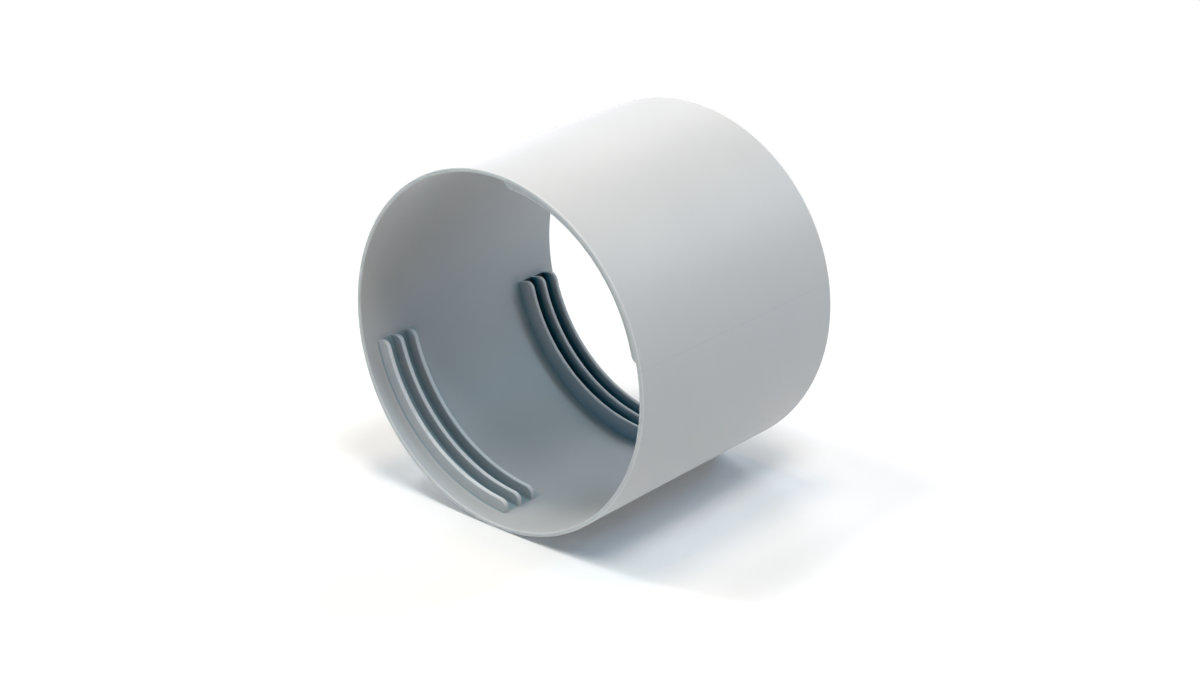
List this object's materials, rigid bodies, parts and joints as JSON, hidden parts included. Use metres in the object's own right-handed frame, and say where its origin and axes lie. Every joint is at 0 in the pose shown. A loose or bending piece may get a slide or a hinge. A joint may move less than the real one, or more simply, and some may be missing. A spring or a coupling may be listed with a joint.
{
  "type": "duct connector",
  "caption": "Short moulded plastic sleeve that joins two corrugated hoses end to end, with interrupted left-handed thread ribs inside each open mouth.",
  "frame": {"origin": "centre of the base, on the plane of the wider mouth's rim", "axes": "+Z along the sleeve's axis, from the wider mouth up to the narrower one; the thread ribs are centred on +Y and -Y"},
  "size_m": [0.1606, 0.1606, 0.126],
  "materials": {
    "sleeve_plastic": "satin moulded plastic"
  },
  "bodies": {
    "root": {"duct_connector": "sleeve_plastic"}
  },
  "joints": []
}
